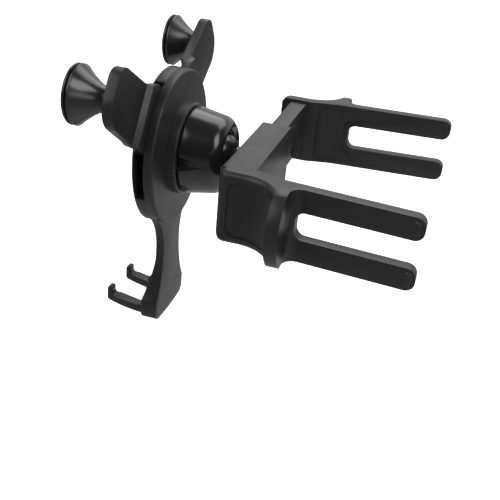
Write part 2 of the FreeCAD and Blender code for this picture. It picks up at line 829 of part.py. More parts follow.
def pad_ring():
    back = -puck_front + ring_thickness
    c = ring_chamfer
    ring = turned([(ring_inner_radius, back), (ring_outer_radius, back),
                   (ring_outer_radius, -puck_front + c), (ring_outer_radius - c, -puck_front),
                   (ring_inner_radius + c, -puck_front), (ring_inner_radius, -puck_front + c)])
    return placed(ring)


def centre_pad():
    back = -puck_front + ring_thickness
    r = ring_inner_radius - ring_groove
    front = -puck_front + centre_pad_drop
    c = centre_pad_chamfer
    pad = turned([(0, back), (r, back), (r, front + c), (r - c, front), (0, front)])
    return placed(pad)


# Arms
def arm_outline():
    """Outline of an arm that points along +X, from the hub to the ear."""
    inner = hub_radius + arm_hub_play
    t = arm_tip_round
    k = t * (1 - math.sqrt(0.5))
    t_low = arm_tip_low_round
    k_low = t_low * (1 - math.sqrt(0.5))
    tip = arm_reach
    up = arm_half_upper
    low = -arm_half_lower
    in_up = polar(inner, arm_root_spread_deg)
    in_low = polar(inner, -arm_root_spread_deg)
    root = disc_radius - arm_root_inset
    return [
        in_low, (root - arm_root_flat, -arm_root_lower), (root, -arm_root_lower),
        (arm_waist_reach, low - arm_waist_low), (tip - t_low, low),
        ((tip - k_low, low + k_low), (tip, low + t_low)), (tip, up - t),
        ((tip - k, up - k), (tip - t, up)),
        (arm_waist_reach, arm_waist_upper), (root + arm_root_run_out, arm_root_upper),
        (root, arm_root_upper), (root - arm_root_flat, arm_root_upper), in_up,
        ((inner, 0.0), in_low),
    ]


def arm_at_rest():
    """Right arm: a flat slider inside the housing, a riser at its edge and the ear plate."""
    far = arm_reach + cut_past
    section = plate_xy([
        (0, -arm_front), (riser_front, -arm_front), (riser_front_top, -ear_front),
        (far, -ear_front), (far, -ear_front + ear_plate), (riser_back + riser_foot, -ear_front + ear_plate),
        (riser_back, -arm_back), (0, -arm_back),
    ], -2 * arm_root_upper, 2 * arm_root_upper)
    body = plate_xz(arm_outline(), -ear_front - 1, -arm_back + 1).common(section)
    rims = edges_where(body, lambda b, e: b.XMax > arm_waist_reach + arm_rim_start
                       and b.YLength < 0.01 and b.YMax < -ear_front + 0.01)
    body = body.makeFillet(arm_rim_round, rims)
    guide = guide_angle_deg - arm_angle_deg
    play = guide_post_radius + cross_play
    ends = (guide, guide + arm_swing_deg)
    kidney = sector(guide_orbit + play, ends[0], ends[1], -cut_past, 0, guide_orbit - play)
    for a in ends:
        x, z = polar(guide_orbit, a)
        kidney = kidney.fuse(rod_y(play, x, z, -cut_past, 0))
    body = body.cut(kidney)
    slot_r = cross_pin_radius + cross_play
    reach = cross_pin_x / math.cos(math.radians(arm_swing_deg / 2))
    slot = box(cross_pin_x, reach, -cut_past, 0, -slot_r, slot_r)
    for x in (cross_pin_x, reach):
        slot = slot.fuse(rod_y(slot_r, x, 0, -cut_past, 0))
    body = body.cut(lifted(slot, arm_swing_deg / 2 - arm_angle_deg))
    body = body.cut(rod_y(spring_hole_radius, spring_lug_along, spring_lug_up, -cut_past, 0))
    notch = box(-spring_notch_length, 0, -arm_front - overlap,
                -arm_front + 2 * spring_wire + spring_notch_play, -spring_notch_half, spring_notch_half)
    notch = moved(lifted(notch, -arm_angle_deg), spring_lug_along, 0, spring_lug_up)
    body = body.cut(notch)
    peg = rod_y(peg_radius, horn_orbit, 0, -ear_front - peg_length, -ear_front + overlap)
    body = body.fuse(peg)
    return one_solid(body)


def right_side(shape):
    return placed(lifted(shape, arm_angle_deg))


def left_side(shape):
    return mirrored_x(right_side(shape))


def horn():
    """Trumpet-shaped rubber post on the peg of the ear."""
    base = -ear_front
    cap_back = base - horn_length + horn_cap_thickness
    rim_front = cap_back + horn_cap_groove
    rim_back = rim_front + horn_rim
    bore = peg_radius + fit_clearance
    end = base - peg_length - horn_end_gap
    flare_end = base - horn_flare_rise
    flare_mid = base - horn_flare_mid_rise
    rim_radius = horn_flange_radius - horn_cap_inset
    body = turned([
        (bore, base), (horn_foot_radius, base),
        ((horn_foot_radius - horn_foot_lip, base - horn_foot_depth),
         (horn_neck_radius, base - horn_foot_rise)),
        ((horn_neck_radius + horn_flare_bow, flare_mid), (horn_flare_radius, flare_end)),
        (horn_flange_radius, rim_back),
        (horn_flange_radius, rim_front), (rim_radius, rim_front), (rim_radius, cap_back),
        (0, cap_back), (0, end), (bore, end),
    ])
    return moved(body, horn_orbit)


def horn_cap():
    front = -ear_front - horn_length
    r = horn_flange_radius
    back = front + horn_cap_thickness
    c = horn_cap_chamfer
    return moved(turned([(0, back), (r, back), (r, front + c), (r - c, front), (0, front)]),
                 horn_orbit)


def cross_slide():
    """Bar with two pins that makes both arms swing alike; it moves up and down."""
    z = cross_travel_half
    h = cross_bar_height / 2
    back = -slot_front - cross_end_play
    front = back - cross_thickness
    ends = [(-cross_pin_x, z - h), (cross_pin_x, z - h),
            ((cross_pin_x + h, z), (cross_pin_x, z + h)),
            (-cross_pin_x, z + h), ((-cross_pin_x - h, z), (-cross_pin_x, z - h))]
    bar = plate_xz(ends, front, back)
    middle = rounded_box(-cross_window_half, cross_window_half, front - overlap, back + overlap,
                         z - cross_window_rise, z + cross_window_rise, cross_window_round,
                         V(0, 1, 0))
    bar = bar.cut(middle)
    for side in (-1, 1):
        pin = rod_y(cross_pin_radius, side * cross_pin_x, z, front, -arm_back - cross_end_play)
        bar = bar.fuse(pin)
    return placed(one_solid(bar))


def arm_spring():
    """Tension spring between the two arms: close-wound body and a hooked end at each lug."""
    a = math.radians(arm_angle_deg)
    x = spring_lug_along * math.cos(a) - spring_lug_up * math.sin(a)
    z = spring_lug_along * math.sin(a) + spring_lug_up * math.cos(a)
    y = -(arm_back + arm_plate / 2)
    half = x - spring_end_gap
    coil = Part.makeCylinder(spring_radius, 2 * half, V(-half, y, z), V(1, 0, 0))
    coil = coil.cut(Part.makeCylinder(spring_radius - spring_wire, 2 * half, V(-half, y, z),
                                      V(1, 0, 0)))
    w = spring_wire / 2
    wire_y = -arm_front + 2 * w + spring_wire_play
    for side in (-1, 1):
        reach = x - half + w
        wire = Part.makeCylinder(w, reach, V(side * (half - w), wire_y, z), V(side, 0, 0))
        hook = rod_y(w, side * x, z, wire_y, -arm_back - spring_hook_end)
        coil = coil.fuse(wire).fuse(hook)
    return placed(one_solid(coil))


# Foot
def hook_plate(clearance):
    z0 = hook_bottom_z + clearance
    z1 = hook_top_z - clearance
    w = hook_outer_x - clearance
    return rounded_box(-w, w, -foot_front, -foot_front + hook_plate_thickness - clearance, z0, z1,
                       1.0, V(0, 1, 0))


def foot_hooks():
    """Two forward hooks with turned-up tips on one cross plate."""
    y0 = -foot_front
    y1 = y0 - hook_reach
    t = hook_tip_round
    c = hook_throat_round
    k = c * (1 - math.sqrt(0.5))
    throat_y = y1 + 2 * t
    throat_z = hook_top_z + hook_top_rise
    low_z = hook_bottom_z + hook_low_rise
    low_mid = ((y0 + y1) / 2, hook_bottom_z + 0.3 * hook_low_rise)
    side = [
        (y0, hook_bottom_z + fit_clearance), (y0, hook_top_z - fit_clearance),
        (throat_y + c, throat_z), ((throat_y + k, throat_z + k), (throat_y, throat_z + c)),
        (throat_y, hook_tip_z - t), ((y1 + t, hook_tip_z), (y1, hook_tip_z - t)),
        (y1, low_z), (low_mid, (y0, hook_bottom_z + fit_clearance)),
    ]
    hook = plate_yz(side, hook_inner_x, hook_outer_x)
    corner = edges_where(hook, lambda b, e: b.YMax < y1 + 0.01 and b.ZMax < low_z + 0.01)
    hook = hook.makeFillet(c, corner)
    rims = edges_where(hook, lambda b, e: b.XLength < 0.01 and b.YMax < throat_y + 3 * c)
    hook = hook.makeFillet(hook_rim_round, rims)
    body = hook.fuse(mirrored_x(hook)).fuse(hook_plate(fit_clearance))
    return placed(one_solid(body))


def foot_block(clearance):
    """Ribbed soft block in a shallow pocket of the foot, above the hook plate."""
    top = foot_pad_top_z - clearance
    bottom = foot_pad_top_z - foot_pad_ribs * foot_pad_rib_pitch + clearance
    leg_front = leg_back + leg_thickness
    slope = (foot_front - leg_front) / (leg_curve_z - foot_flat_z)

    def valley(z):
        return max(-foot_front, -leg_front - (leg_curve_z - z) * slope) - foot_pad_proud

    side = [(-foot_pad_back - clearance, top), (valley(top), top)]
    for i in range(foot_pad_ribs):
        end_z = max(foot_pad_top_z - (i + 1) * foot_pad_rib_pitch, bottom)
        mid_z = foot_pad_top_z - (i + 0.5) * foot_pad_rib_pitch
        side.append(((valley(mid_z) - foot_pad_rib_height, mid_z), (valley(end_z), end_z)))
    side.append((-foot_pad_back - clearance, bottom))
    half = foot_pad_half - clearance
    return plate_yz(side, -half, half)


def write_all():
    pad_x = claw_x
    near = {
        "thumb_pad_fixed": dish_pad(pad_clearance),
        "grip_pad_fixed": grip_pad(pad_clearance),
    }
    nodes = {name: moved(shape, pad_x) for name, shape in near.items()}
    for fixed, sliding in (("thumb_pad_fixed", "thumb_pad_sliding"),
                           ("grip_pad_fixed", "grip_pad_sliding")):
        nodes[sliding] = moved(mirrored_x(near[fixed]), far_claw_x)
    arm = arm_at_rest()
    nodes.update({
        "fixed_claw": fixed_claw(),
        "sliding_claw": sliding_claw(),
        "friction_shoe": friction_shoe(),
        "shoe_spring": shoe_spring(),
        "stop_pin": stop_pin(),
        "stud_screw": stud_screw(),
        "ball_stud": ball_stud(),
        "rear_seat": rear_seat(),
        "front_seat": front_seat(),
        "lock_nut": lock_nut(),
        "rear_cover": rear_cover(),
        "front_housing": front_housing(),
        "housing_screws": housing_screws(),
        "puck": puck(),
        "pad_ring": pad_ring(),
        "centre_pad": centre_pad(),
        "arm_right": right_side(arm),
        "arm_left": left_side(arm),
        "horn_right": right_side(horn()),
        "horn_left": left_side(horn()),
        "horn_cap_right": right_side(horn_cap()),
        "horn_cap_left": left_side(horn_cap()),
        "cross_slide": cross_slide(),
        "arm_spring": arm_spring(),
        "foot_hooks": foot_hooks(),
        "foot_pad": placed(foot_block(pad_clearance)),
    })
    os.makedirs("parts", exist_ok=True)
    for name, shape in nodes.items():
        shape.exportStep("parts/" + name + ".step")
        print(name, shape.isValid(), len(shape.Solids), round(shape.Volume, 1))


write_all()
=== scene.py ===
import math

import bmesh
import bpy
from bpy.props import FloatProperty, FloatVectorProperty, IntProperty, PointerProperty
from mathutils import Euler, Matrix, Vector


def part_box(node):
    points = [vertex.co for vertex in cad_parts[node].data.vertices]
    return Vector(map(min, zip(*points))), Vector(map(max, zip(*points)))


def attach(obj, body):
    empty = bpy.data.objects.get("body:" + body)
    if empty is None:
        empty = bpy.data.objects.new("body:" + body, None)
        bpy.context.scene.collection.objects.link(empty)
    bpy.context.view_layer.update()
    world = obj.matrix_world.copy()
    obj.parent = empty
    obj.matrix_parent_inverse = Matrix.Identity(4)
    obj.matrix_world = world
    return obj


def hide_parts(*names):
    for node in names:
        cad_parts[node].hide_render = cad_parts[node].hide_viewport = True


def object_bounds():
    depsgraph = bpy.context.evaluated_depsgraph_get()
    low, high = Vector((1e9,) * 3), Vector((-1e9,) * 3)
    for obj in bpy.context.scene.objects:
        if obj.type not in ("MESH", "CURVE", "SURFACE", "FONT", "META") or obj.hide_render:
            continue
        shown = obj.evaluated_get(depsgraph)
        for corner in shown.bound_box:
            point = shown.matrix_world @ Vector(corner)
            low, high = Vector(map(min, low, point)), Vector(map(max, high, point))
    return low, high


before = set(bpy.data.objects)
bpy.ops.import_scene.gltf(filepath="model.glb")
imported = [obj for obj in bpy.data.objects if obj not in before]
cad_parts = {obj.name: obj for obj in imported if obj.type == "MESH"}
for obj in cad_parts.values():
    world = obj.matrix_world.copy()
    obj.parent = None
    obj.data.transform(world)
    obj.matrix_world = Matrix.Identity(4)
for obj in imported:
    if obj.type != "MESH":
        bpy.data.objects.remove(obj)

bl_info = {
    "name": "Car phone holder looks",
    "version": (1, 0, 0),
    "blender": (4, 5, 0),
    "location": "View3D > Sidebar > Phone holder",
    "description": "Dresses the clamp, the ball joint and the cradle of a car phone holder",
    "category": "Object",
}

CAD_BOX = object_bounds()
MM = 0.001

# Copies of the solids
WELD_DISTANCE = 1e-6
FLAT_DEG = 0.6
ROUNDED_FROM_DEG = 38.0
ROUND_STEPS = 3

# The part of a noise's values that its pattern uses
NOISE_SPAN = (0.3, 0.7)

# The camera, as fitted to the photograph
CAMERA_PLACE = (0.273493, 0.058801, 0.112262)
CAMERA_TURN_DEG = (60.8131, -6.3472, 103.9286)
LENS_MM = 59.36
SENSOR_MM = 36.0
LENS_SHIFT = (-0.0844, 0.0439)
NEAREST = 0.01

# Lamps: name, place, width and height, power in watts, seen in reflections
LAMP_AIM = (0.0, -0.01, 0.0)
LAMPS = (
    ("top_light", (0.0, 0.0, 0.6), (0.6, 0.9), 1.7, False),
    ("back_light", (-0.36, 0.05, 0.50), (0.6, 0.38), 1.9, True),
    ("right_light", (0.18, 0.38, 0.42), (0.26, 0.36), 1.15, True),
    ("left_light", (0.26, -0.36, 0.40), (0.6, 0.45), 1.6, True),
    ("low_light", (0.45, 0.40, 0.14), (0.3, 0.2), 0.3, True),
)
ROOM_STRENGTH = 0.42
CAMERA_SIDE = (0.75, 0.1, 0.65)
WALL_GREY = 0.78
DIM_WALL = 0.03


class HolderFinish(bpy.types.PropertyGroup):
    """Colours and surface sizes of the holder"""
    shell_colour: FloatVectorProperty(
        name="Shell colour", description="Moulded plastic of clamp and cradle", subtype="COLOR",
        size=3, min=0.0, max=1.0, default=(0.0140, 0.0143, 0.0153))
    soft_colour: FloatVectorProperty(
        name="Soft colour", description="Rubber of posts and pads", subtype="COLOR",
        size=3, min=0.0, max=1.0, default=(0.0125, 0.0125, 0.013))
    ring_colour: FloatVectorProperty(
        name="Ring colour", description="Light ring round the centre pad", subtype="COLOR",
        size=3, min=0.0, max=1.0, default=(0.42, 0.43, 0.44))
    steel_colour: FloatVectorProperty(
        name="Steel colour", description="Screws, pins and springs", subtype="COLOR",
        size=3, min=0.0, max=1.0, default=(0.52, 0.53, 0.55))
    grain: FloatProperty(
        name="Grain", description="Size of the moulded texture", subtype="DISTANCE",
        default=0.00022, min=0.00005, max=0.002)
    edge_round: FloatProperty(
        name="Edge round", description="Radius of the moulded edges", subtype="DISTANCE",
        default=0.0005, min=0.0, max=0.002)


class HolderShapes(bpy.types.PropertyGroup):
    """Sizes of the pieces that are made from rules"""
    lathe_steps: IntProperty(
        name="Turned steps", description="Faces round a turned piece", default=128, min=24, max=256)
    horn_rings: IntProperty(
        name="Horn rings", description="Rings along a horn-shaped post", default=130, min=24, max=240)
    horn_neck: FloatProperty(
        name="Horn neck", description="Smallest radius of a horn-shaped post", subtype="DISTANCE",
        default=0.0035, min=0.001, max=0.008)
    horn_foot: FloatProperty(
        name="Horn foot", description="Radius of a horn-shaped post at the ear", subtype="DISTANCE",
        default=0.0042, min=0.001, max=0.009)
    horn_flare: FloatProperty(
        name="Horn flare", description="How late the post opens towards its rim", default=1.55,
        min=1.0, max=4.0)
    coil_turns: FloatProperty(
        name="Spring turns", description="Turns of the arm spring", default=22.0, min=4.0, max=60.0)
    coil_wire: FloatProperty(
        name="Spring wire", description="Diameter of the spring wire", subtype="DISTANCE",
        default=0.00036, min=0.0001, max=0.001)
    floor_grey: FloatProperty(
        name="Floor", description="Brightness of the floor", subtype="FACTOR",
        default=0.86, min=0.0, max=1.0)


def finish_values():
    return bpy.context.scene.holder_finish


def shape_values():
    return bpy.context.scene.holder_shapes


# Node helpers, for every kind of tree
def math_node(tree, operation, a, b=None):
    """The result of a sum on numbers or sockets."""
    node = tree.nodes.new("ShaderNodeMath")
    node.operation = operation
    for socket, value in zip(node.inputs, (a, b)):
        if value is None:
            continue
        if isinstance(value, (int, float)):
            socket.default_value = value
        else:
            tree.links.new(value, socket)
    return node.outputs["Value"]


def vector_value(tree, operation, vector, other):
    """A number made from a vector and from another one, which may be fixed."""
    node = tree.nodes.new("ShaderNodeVectorMath")
    node.operation = operation
    tree.links.new(vector, node.inputs[0])
    if isinstance(other, tuple):
        node.inputs[1].default_value = other
    else:
        tree.links.new(other, node.inputs[1])
    return node.outputs["Value"]


def ranged(tree, value, target, source=NOISE_SPAN, soft=False):
    """The value, moved from its source range to the target range."""
    span = tree.nodes.new("ShaderNodeMapRange")
    if soft:
        span.interpolation_type = "SMOOTHSTEP"
    for name, number in zip(("From Min", "From Max", "To Min", "To Max"), (*source, *target)):
        span.inputs[name].default_value = number
    tree.links.new(value, span.inputs["Value"])
    return span.outputs["Result"]


def mixed_colour(tree, share, first, second):
    """A mix of two colours, each given as numbers or as a socket."""
    mix = tree.nodes.new("ShaderNodeMix")
    mix.data_type = "RGBA"
    tree.links.new(share, mix.inputs["Factor"])
    for name, colour in (("A", first), ("B", second)):
        if isinstance(colour, tuple):
            mix.inputs[name].default_value = (*colour, 1.0)
        else:
            tree.links.new(colour, mix.inputs[name])
    return mix.outputs["Result"]


def mixed_shader(tree, share, first, second):
    """The first shader where the share is zero, the second where it is one."""
    mix = tree.nodes.new("ShaderNodeMixShader")
    for source, socket in zip((share, first, second), mix.inputs):
        tree.links.new(source, socket)
    return mix.outputs["Shader"]


def grey_light(tree, kind, grey, strength):
    """A background or emission of one grey, with a fixed or a linked strength."""
    node = tree.nodes.new(kind)
    node.inputs["Color"].default_value = (grey, grey, grey, 1.0)
    if isinstance(strength, float):
        node.inputs["Strength"].default_value = strength
    else:
        tree.links.new(strength, node.inputs["Strength"])
    return node.outputs[0]


# Materials
def new_material(name):
    """A new material with its tree, its shader and its object coordinates."""
    mat = bpy.data.materials.new(name)
    mat.use_nodes = True
    tree = mat.node_tree
    coords = tree.nodes.new("ShaderNodeTexCoord").outputs["Object"]
    return mat, tree, tree.nodes["Principled BSDF"], coords


def noise(tree, coords, scale, detail=3.0, rough=0.55):
    """Cloudy noise in the object's own space."""
    tex = tree.nodes.new("ShaderNodeTexNoise")
    tex.inputs["Scale"].default_value = scale
    tex.inputs["Detail"].default_value = detail
    tex.inputs["Roughness"].default_value = rough
    tree.links.new(coords, tex.inputs["Vector"])
    return tex.outputs["Fac"]


def bumped(tree, height, shader, strength, distance):
    """Gives the shader a relief made from a height."""
    bump = tree.nodes.new("ShaderNodeBump")
    bump.inputs["Strength"].default_value = strength
    bump.inputs["Distance"].default_value = distance
    tree.links.new(height, bump.inputs["Height"])
    tree.links.new(bump.outputs["Normal"], shader.inputs["Normal"])


def scaled(colour, factor):
    """A colour made darker or lighter, up to white."""
    return tuple(min(1.0, c * factor) for c in colour)


def painted_edge_highlight(tree, coords):
    """One on rounded edges, where a painted edge highlight goes, broken into patches by noise, and
    zero on flat faces.
    """
    bevel = tree.nodes.new("ShaderNodeBevel")
    bevel.samples = 4
    bevel.inputs["Radius"].default_value = 0.5 * MM
    face = tree.nodes.new("ShaderNodeNewGeometry")
    facing = vector_value(tree, "DOT_PRODUCT", bevel.outputs["Normal"], face.outputs["Normal"])
    edge = ranged(tree, facing, (0.0, 1.0), source=(0.99, 0.85))
    # Noise breaks the painted edge highlight into patches.
    patchy_highlight = ranged(tree, noise(tree, coords, scale=350.0), (0.2, 1.0))
    return math_node(tree, "MULTIPLY", edge, patchy_highlight)


def moulded_plastic(name, colour, rough, grain, gloss=0.4):
    """Satin moulded plastic: fine spark-eroded grain, handling marks in tone and roughness, and a
    painted edge highlight that makes the rounded edges paler.
    """
    mat, tree, shader, coords = new_material(name)
    fine = noise(tree, coords, scale=1.0 / grain, detail=2.0)
    cloud = noise(tree, coords, scale=60.0, detail=4.0)
    # The third colour, 1.9 times paler, is a painted edge highlight laid on the rounded edges.
    dark, light, highlight_colour = (scaled(colour, factor) for factor in (0.85, 1.18, 1.9))
    body = mixed_colour(tree, cloud, dark, light)
    tree.links.new(mixed_colour(tree, painted_edge_highlight(tree, coords), body, highlight_colour),
                   shader.inputs["Base Color"])
    tree.links.new(ranged(tree, cloud, (rough - 0.04, rough + 0.05)), shader.inputs["Roughness"])
    shader.inputs["Specular IOR Level"].default_value = gloss
    # The glossier the moulding, the less its grain stands out.
    relief = max(0.03, 0.7 * (rough - 0.2))
    bumped(tree, fine, shader, strength=relief, distance=grain * 0.12)
    return mat


def soft_rubber(name, colour, grain):
    """Matte rubber with a dusty sheen and a slightly uneven surface."""
    mat, tree, shader, coords = new_material(name)
    fine = noise(tree, coords, scale=0.6 / grain, detail=4.0, rough=0.65)
    cloud = noise(tree, coords, scale=90.0, detail=3.0)
    dark, light = scaled(colour, 0.8), scaled(colour, 1.35)
    tree.links.new(mixed_colour(tree, cloud, dark, light), shader.inputs["Base Color"])
    tree.links.new(ranged(tree, fine, (0.5, 0.66)), shader.inputs["Roughness"])
    shader.inputs["Sheen Weight"].default_value = 0.12
    shader.inputs["Sheen Roughness"].default_value = 0.4
    bumped(tree, fine, shader, strength=0.3, distance=grain * 0.15)
    return mat


def turned_steel(name, colour):
    """Steel with fine lines from turning or drawing."""
    mat, tree, shader, coords = new_material(name)
    wave = tree.nodes.new("ShaderNodeTexWave")
    wave.inputs["Scale"].default_value = 900.0
    wave.inputs["Distortion"].default_value = 2.0
    wave.inputs["Detail"].default_value = 3.0
    tree.links.new(coords, wave.inputs["Vector"])
    lines = wave.outputs["Fac"]
    tree.links.new(mixed_colour(tree, lines, scaled(colour, 0.85), colour),
                   shader.inputs["Base Color"])
    tree.links.new(ranged(tree, lines, (0.24, 0.38)), shader.inputs["Roughness"])
    shader.inputs["Metallic"].default_value = 1.0
    bumped(tree, lines, shader, strength=0.15, distance=0.02 * MM)
    return mat


def material(name):
    """The material of that name, made the first time it is asked for."""
    if name in bpy.data.materials:
        return bpy.data.materials[name]
    finish = finish_values()
    shell, soft = tuple(finish.shell_colour), tuple(finish.soft_colour)
    grain = finish.grain
    makers = {
        "shell_plastic": lambda: moulded_plastic(name, shell, 0.36, grain),
        "gloss_plastic": lambda: moulded_plastic(name, scaled(shell, 0.7), 0.2, grain, gloss=0.7),
        "seat_plastic": lambda: moulded_plastic(name, scaled(shell, 2.2), 0.45, grain),
        "post_rubber": lambda: moulded_plastic(name, soft, 0.25, grain, gloss=0.7),
        "pad_rubber": lambda: soft_rubber(name, scaled(soft, 0.62), grain * 1.5),
        "ring_plastic": lambda: moulded_plastic(name, tuple(finish.ring_colour), 0.34, grain),
        "steel": lambda: turned_steel(name, tuple(finish.steel_colour)),
    }
    return makers[name]()


# Mesh helpers
def add_object(name, mesh):
    obj = bpy.data.objects.new(name, mesh)
    bpy.context.scene.collection.objects.link(obj)
    return obj


def paint(obj, mat_name):
    obj.data.materials.clear()
    obj.data.materials.append(material(mat_name))


def smooth(obj, degrees=32.0):
    """Shades an object smooth, but for the edges sharper than the angle."""
    mesh = obj.data
    mesh.shade_smooth()
    mesh.set_sharp_from_angle(angle=math.radians(degrees))


def baked(obj):
    """The object with its modifiers turned into a plain mesh."""
    graph = bpy.context.evaluated_depsgraph_get()
    mesh = bpy.data.meshes.new_from_object(obj.evaluated_get(graph))
    name = obj.name
    old = obj.data
    bpy.data.objects.remove(obj)
    if old.users == 0:
        bpy.data.meshes.remove(old)
    mesh.name = name
    return add_object(name, mesh)


def lean_riser(bm):
    """Leans the step between arm and ear outwards, as the moulded one does."""
    arm_angle = math.radians(33.8)
    step_height = 1.9 * MM
    step_reach = 32.6 * MM
    lean = 0.8 * MM
    near_foot = 0.05 * MM
    near_step = 0.15 * MM
    foot = max(v.co.y for v in bm.verts) - step_height
    for v in bm.verts:
        along = Vector((math.copysign(math.cos(arm_angle), v.co.x), 0.0, math.sin(arm_angle)))
        at_foot = abs(v.co.y - foot) < near_foot
        on_step = abs(v.co.dot(along) - step_reach) < near_step
        if at_foot and on_step:
            v.co += along * lean


def round_tips(bm):
    """Rounds the top corners of the two hook tips across their width."""
    top = max(v.co.z for v in bm.verts)
    tip_middle = 9.05 * MM
    radius = 1.2 * MM
    for v in bm.verts:
        rise = (v.co.z - top + radius) / radius
        side = math.copysign(1.0, v.co.x)
        off = abs(v.co.x) - tip_middle
        if rise > 0.0 and abs(off) > radius:
            inset = radius * (1.0 - math.sqrt(max(0.0, 1.0 - rise * rise)))
            v.co.x = side * (tip_middle + off - math.copysign(inset, off))


def shell_of(node, name, edge, form=None):
    """A welded copy of a solid with its moulded edges rounded."""
    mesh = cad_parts[node].data.copy()
    obj = add_object(name, mesh)
    bm = bmesh.new()
    bm.from_mesh(mesh)
    bmesh.ops.remove_doubles(bm, verts=bm.verts, dist=WELD_DISTANCE)
    if form:
        form(bm)
    bmesh.ops.dissolve_limit(
        bm, angle_limit=math.radians(FLAT_DEG), verts=bm.verts, edges=bm.edges)
    bm.to_mesh(mesh)
    bm.free()
    if edge > 0.0:
        bevel = obj.modifiers.new("Edge round", "BEVEL")
        bevel.width = edge
        bevel.segments = ROUND_STEPS
        bevel.limit_method = "ANGLE"
        bevel.angle_limit = math.radians(ROUNDED_FROM_DEG)
        bevel.use_clamp_overlap = True
        bevel.harden_normals = False
        obj = baked(obj)
    smooth(obj)
    return obj


def dress(node, mat_name, body, edge, form=None):
    """Replaces a solid by its rounded shell, with a material."""
    obj = shell_of(node, node + "_skin", edge, form)
    paint(obj, mat_name)
    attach(obj, body)
    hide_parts(node)
    return obj


# Geometry node trees
def new_tree(name, sockets):
    """A tree that gives a geometry, with the named inputs."""
    tree = bpy.data.node_groups.new(name, "GeometryNodeTree")
    tree.interface.new_socket("Geometry", in_out="OUTPUT", socket_type="NodeSocketGeometry")
    for label, kind, value in sockets:
        item = tree.interface.new_socket(label, in_out="INPUT", socket_type=kind)
        if value is not None:
            item.default_value = value
    asked = tree.nodes.new("NodeGroupInput").outputs
    take = tree.nodes.new("NodeGroupOutput")
    return tree, asked, take


def run_tree(name, tree, values):
    """Runs a tree on an empty object with its inputs set, and keeps the plain mesh."""
    obj = add_object(name, bpy.data.meshes.new(name + "_seed"))
    mod = obj.modifiers.new(tree.name, "NODES")
    mod.node_group = tree
    for item in tree.interface.items_tree:
        if item.item_type == "SOCKET" and item.in_out == "INPUT" and item.name in values:
            mod[item.identifier] = values[item.name]
    return baked(obj)


def finish_tree(tree, geometry, mat_socket, take):
    """Joins what the tree made, gives it its material and hands it out."""
    link = tree.links.new
    real = tree.nodes.new("GeometryNodeRealizeInstances")
    setter = tree.nodes.new("GeometryNodeSetMaterial")
    link(geometry, real.inputs["Geometry"])
    link(real.outputs["Geometry"], setter.inputs["Geometry"])
    link(mat_socket, setter.inputs["Material"])
    link(setter.outputs["Geometry"], take.inputs["Geometry"])


def horn_tree():
    """Horn-shaped post: a line along -Y swept by a circle whose radius follows a flare rule."""
    tree, asked, take = new_tree("Horn post", [
        ("Foot", "NodeSocketVector", None), ("Length", "NodeSocketFloat", 0.0108),
        ("Neck radius", "NodeSocketFloat", 0.0035), ("Rim radius", "NodeSocketFloat", 0.0098),
        ("Foot radius", "NodeSocketFloat", 0.0042), ("Rim share", "NodeSocketFloat", 0.1),
        ("Flare", "NodeSocketFloat", 1.55), ("Rim round", "NodeSocketFloat", 0.0002),
        ("Groove share", "NodeSocketFloat", 0.06), ("Groove depth", "NodeSocketFloat", 0.0009),
        ("Rings", "NodeSocketInt", 130), ("Sides", "NodeSocketInt", 128),
        ("Material", "NodeSocketMaterial", None)])
    foot_bend = 14.0
    rim_bend = 6.0
    link = tree.links.new

    def sub(a, b):
        return math_node(tree, "SUBTRACT", a, b)

    def mul(a, b):
        return math_node(tree, "MULTIPLY", a, b)

    line = tree.nodes.new("GeometryNodeCurvePrimitiveLine")
    line.mode = "DIRECTION"
    line.inputs["Direction"].default_value = (0.0, -1.0, 0.0)
    link(asked["Foot"], line.inputs["Start"])
    link(asked["Length"], line.inputs["Length"])
    rings = tree.nodes.new("GeometryNodeResampleCurve")
    link(line.outputs["Curve"], rings.inputs["Curve"])
    link(asked["Rings"], rings.inputs["Count"])
    along = tree.nodes.new("GeometryNodeSplineParameter").outputs["Factor"]

    # The bell opens from the neck to the rim.
    rim_end = sub(1.0, asked["Groove share"])
    bell_end = sub(rim_end, asked["Rim share"])
    bell = math_node(tree, "MINIMUM", math_node(tree, "DIVIDE", along, bell_end), 1.0)
    opening = math_node(tree, "POWER", bell, asked["Flare"])
    grow = mul(opening, sub(asked["Rim radius"], asked["Neck radius"]))

    # The foot spreads where the post stands on the ear.
    foot_fall = math_node(tree, "POWER", sub(1.0, along), foot_bend)
    foot_grow = mul(foot_fall, sub(asked["Foot radius"], asked["Neck radius"]))

    # The rim is rounded on both sides, and the groove lies behind it.
    rim_at = math_node(tree, "MAXIMUM", sub(along, bell_end), 0.0)
    rim_turn = sub(mul(math_node(tree, "DIVIDE", rim_at, asked["Rim share"]), 2.0), 1.0)
    rim_turn = math_node(tree, "MINIMUM", math_node(tree, "ABSOLUTE", rim_turn), 1.0)
    rim_fall = math_node(tree, "POWER", rim_turn, rim_bend)
    rim_loss = mul(mul(rim_fall, asked["Rim round"]), opening)
    groove = mul(math_node(tree, "GREATER_THAN", along, rim_end), asked["Groove depth"])

    radius = math_node(tree, "ADD", asked["Neck radius"], grow)
    radius = sub(math_node(tree, "ADD", radius, foot_grow), rim_loss)
    radius = sub(radius, groove)
    circle = tree.nodes.new("GeometryNodeCurvePrimitiveCircle")
    circle.inputs["Radius"].default_value = 1.0
    link(asked["Sides"], circle.inputs["Resolution"])
    sweep = tree.nodes.new("GeometryNodeCurveToMesh")
    sweep.inputs["Fill Caps"].default_value = True
    link(circle.outputs["Curve"], sweep.inputs["Profile Curve"])
    link(rings.outputs["Curve"], sweep.inputs["Curve"])
    link(radius, sweep.inputs["Scale"])
    finish_tree(tree, sweep.outputs["Mesh"], asked["Material"], take)
    return tree


